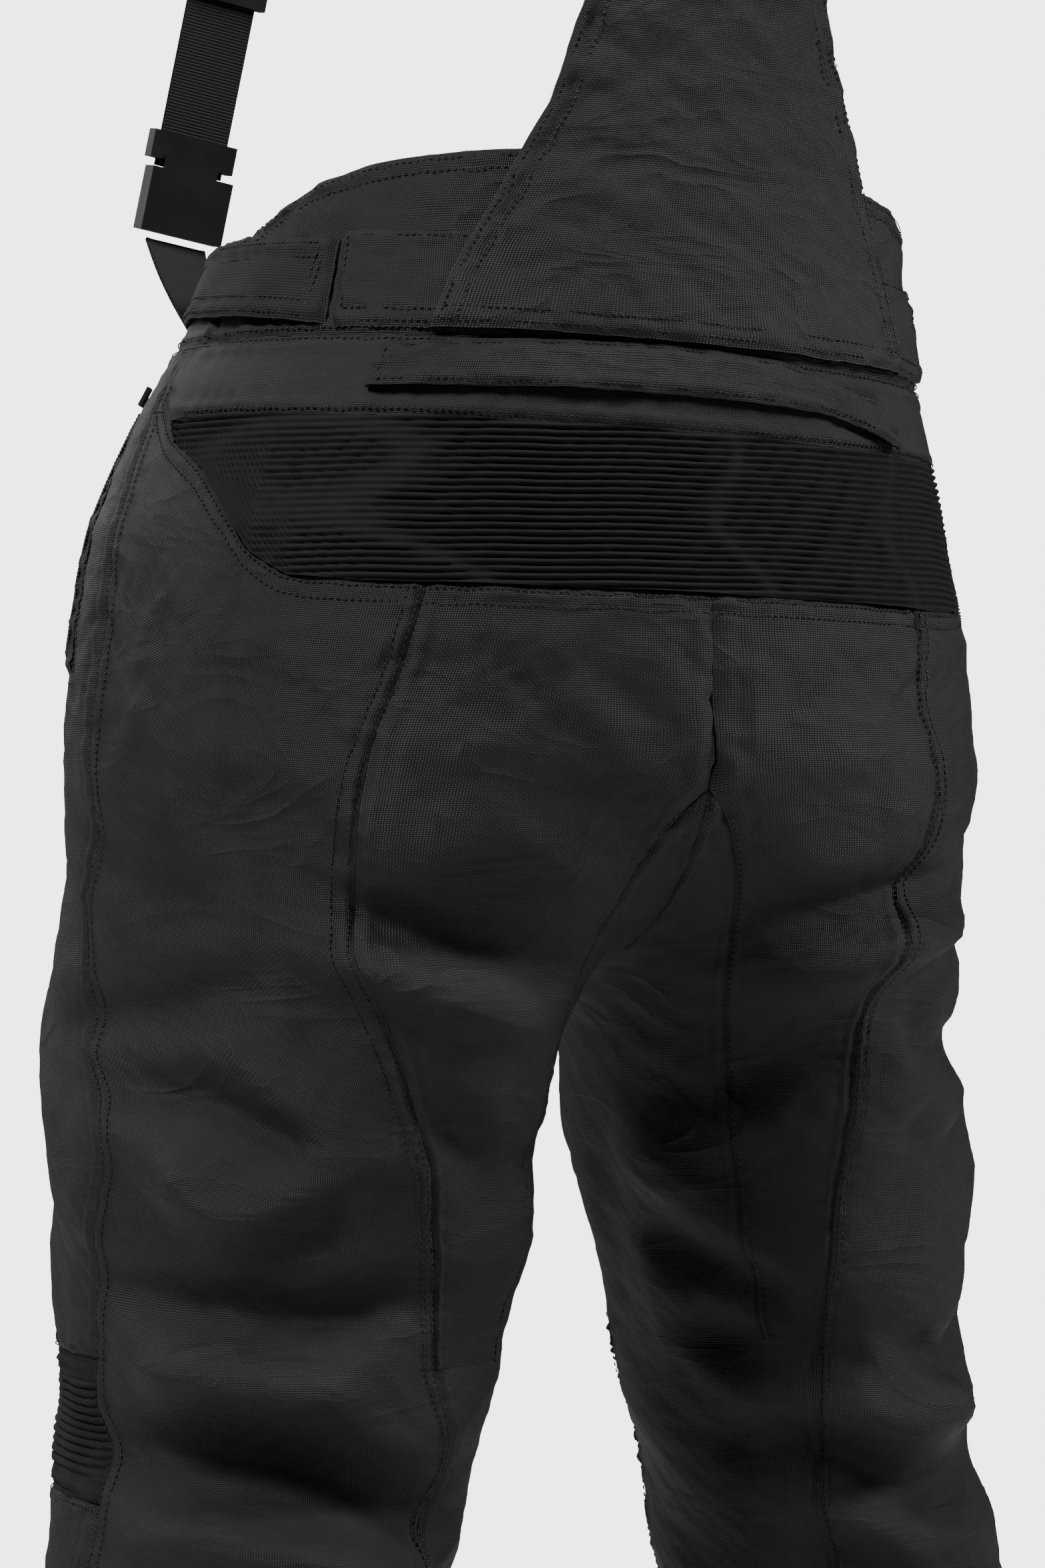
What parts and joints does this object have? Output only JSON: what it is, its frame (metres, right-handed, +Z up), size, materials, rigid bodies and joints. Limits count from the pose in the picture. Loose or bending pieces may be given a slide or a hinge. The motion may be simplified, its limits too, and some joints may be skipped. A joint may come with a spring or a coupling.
{
  "type": "bib over-trousers",
  "caption": "Woven protective bib over-trousers with a high back yoke, ribbed lumbar stretch panel, zip-on back bib on buckled elastic braces, waist adjusters and flexing knees.",
  "frame": {"origin": "centre of the waist opening, level with the zip band at the back", "axes": "+Z up along the wearer, -Y the wearer's front, +X the wearer's left"},
  "size_m": [0.5452, 0.3594, 1.424],
  "materials": {
    "shell_fabric": "matt coarse plain weave, double lock-stitched",
    "stretch_fabric": "matt ribbed stretch",
    "webbing": "fine ribbed tape and elastic",
    "fittings": "satin moulded",
    "hardware": "satin black",
    "armour": "matt foam"
  },
  "bodies": {
    "trousers": {"back_yoke": "shell_fabric", "yoke_patch": "shell_fabric", "zip_band": "shell_fabric", "connection_zip_tape": "webbing", "lumbar_stretch_panel": "stretch_fabric", "hip_thigh_back_left": "shell_fabric", "hip_thigh_back_right": "shell_fabric", "seat_panel_left": "shell_fabric", "seat_panel_right": "shell_fabric", "thigh_front_left": "shell_fabric", "thigh_front_right": "shell_fabric", "inner_thigh_left": "shell_fabric", "inner_thigh_right": "shell_fabric", "front_waistband_left": "shell_fabric", "front_waistband_right": "shell_fabric", "pocket_welt_left": "shell_fabric", "pocket_welt_right": "shell_fabric", "fly_flap": "shell_fabric", "fly_zip_tape": "webbing", "back_bib": "shell_fabric", "brace_left": "webbing", "brace_right": "webbing", "buckle_female_left": "fittings", "buckle_female_right": "fittings", "brace_tab_left": "webbing", "brace_tab_right": "webbing"},
    "zip_flap": {"zip_cover_flap": "shell_fabric"},
    "connection_slider": {"connection_zip_slider": "hardware"},
    "fly_slider_body": {"fly_slider": "hardware"},
    "waist_closure": {"waist_tab": "shell_fabric", "waist_snap": "hardware"},
    "shin_left": {"knee_stretch_left": "stretch_fabric", "knee_back_left": "shell_fabric", "knee_pad_panel_left": "shell_fabric", "shin_front_left": "shell_fabric", "calf_panel_left": "shell_fabric", "knee_armour_left": "armour", "leg_zip_tape_left": "webbing"},
    "adjuster_left": {"waist_adjuster_left": "shell_fabric"},
    "pocket_slider_body_left": {"pocket_slider_left": "hardware"},
    "lock_left": {"ladder_lock_left": "fittings"},
    "buckle_left": {"buckle_male_left": "fittings"},
    "leg_zip_body_left": {"leg_zip_slider_left": "hardware"},
    "cuff_left": {"cuff_tab_left": "shell_fabric"},
    "shin_right": {"knee_stretch_right": "stretch_fabric", "knee_back_right": "shell_fabric", "knee_pad_panel_right": "shell_fabric", "shin_front_right": "shell_fabric", "calf_panel_right": "shell_fabric", "knee_armour_right": "armour", "leg_zip_tape_right": "webbing"},
    "adjuster_right": {"waist_adjuster_right": "shell_fabric"},
    "pocket_slider_body_right": {"pocket_slider_right": "hardware"},
    "lock_right": {"ladder_lock_right": "fittings"},
    "buckle_right": {"buckle_male_right": "fittings"},
    "leg_zip_body_right": {"leg_zip_slider_right": "hardware"},
    "cuff_right": {"cuff_tab_right": "shell_fabric"}
  },
  "joints": [
    {"name": "knee_left", "type": "hinge", "parent": "trousers", "child": "shin_left", "pos_m": [0.1576, 0.0185, -0.53], "axis": [0.9659, 0.2588, 0], "range_deg": [0, 75], "deforming": ["knee_stretch_left", "knee_back_left"]},
    {"name": "adjuster_peel_left", "type": "hinge", "parent": "trousers", "child": "adjuster_left", "pos_m": [0.14414, 0.07727, 0.05861], "axis": [0, 0, 1], "range_deg": [0, 35]},
    {"name": "pocket_zip_left", "type": "hinge", "parent": "trousers", "child": "pocket_slider_body_left", "pos_m": [-0.0681, 0.03983, -0.14422], "axis": [0.2584, 0.9308, 0.2583], "range_deg": [0, 24.6]},
    {"name": "brace_adjust_left", "type": "slide", "parent": "trousers", "child": "lock_left", "axis": [-0.1612, 0.1195, 0.9797], "range_m": [-0.05, 0.015]},
    {"name": "buckle_release_left", "type": "slide", "parent": "trousers", "child": "buckle_left", "axis": [-0.1612, 0.1195, 0.9797], "range_m": [0, 0.032]},
    {"name": "leg_zip_left", "type": "slide", "parent": "shin_left", "child": "leg_zip_body_left", "axis": [-0.0569, -0.0473, 0.9973], "range_m": [0, 0.205]},
    {"name": "cuff_peel_left", "type": "hinge", "parent": "shin_left", "child": "cuff_left", "pos_m": [0.17897, 0.15203, -0.98497], "axis": [0, 0, 1], "range_deg": [0, 65]},
    {"name": "knee_right", "type": "hinge", "parent": "trousers", "child": "shin_right", "pos_m": [-0.1576, 0.0185, -0.53], "axis": [0.9659, -0.2588, 0], "range_deg": [0, 75], "deforming": ["knee_stretch_right", "knee_back_right"]},
    {"name": "adjuster_peel_right", "type": "hinge", "parent": "trousers", "child": "adjuster_right", "pos_m": [-0.17529, 0.07729, 0.04403], "axis": [0, 0, -1], "range_deg": [0, 35]},
    {"name": "pocket_zip_right", "type": "hinge", "parent": "trousers", "child": "pocket_slider_body_right", "pos_m": [-0.40772, 0.54268, 0.10332], "axis": [0.9083, 0.3619, -0.2095], "range_deg": [0, 10]},
    {"name": "brace_adjust_right", "type": "slide", "parent": "trousers", "child": "lock_right", "axis": [-0.0286, 0.1203, 0.9923], "range_m": [-0.05, 0.015]},
    {"name": "buckle_release_right", "type": "slide", "parent": "trousers", "child": "buckle_right", "axis": [-0.0286, 0.1203, 0.9923], "range_m": [0, 0.032]},
    {"name": "leg_zip_right", "type": "slide", "parent": "shin_right", "child": "leg_zip_body_right", "axis": [0.0569, -0.0473, 0.9973], "range_m": [0, 0.205]},
    {"name": "cuff_peel_right", "type": "hinge", "parent": "shin_right", "child": "cuff_right", "pos_m": [-0.17897, 0.15203, -0.98497], "axis": [0, 0, -1], "range_deg": [0, 65]},
    {"name": "flap_lift", "type": "hinge", "parent": "trousers", "child": "zip_flap", "pos_m": [-0.01187, 0.15805, 0.02538], "axis": [1, 0, 0], "range_deg": [0, 25], "deforming": ["zip_cover_flap"]},
    {"name": "connection_zip", "type": "hinge", "parent": "trousers", "child": "connection_slider", "pos_m": [0.00159, -0.05695, 0.01406], "axis": [-0.0458, 0.0044, 0.9989], "range_deg": [0, 15]},
    {"name": "fly_zip", "type": "hinge", "parent": "trousers", "child": "fly_slider_body", "pos_m": [-0.4212, 0.125, -0.14549], "axis": [0.5675, 0.8113, -0.1402], "range_deg": [0, 13.5]},
    {"name": "waist_tab_peel", "type": "hinge", "parent": "trousers", "child": "waist_closure", "pos_m": [0.02349, -0.12755, 0.05511], "axis": [0, 0, 1], "range_deg": [0, 40]}
  ]
}
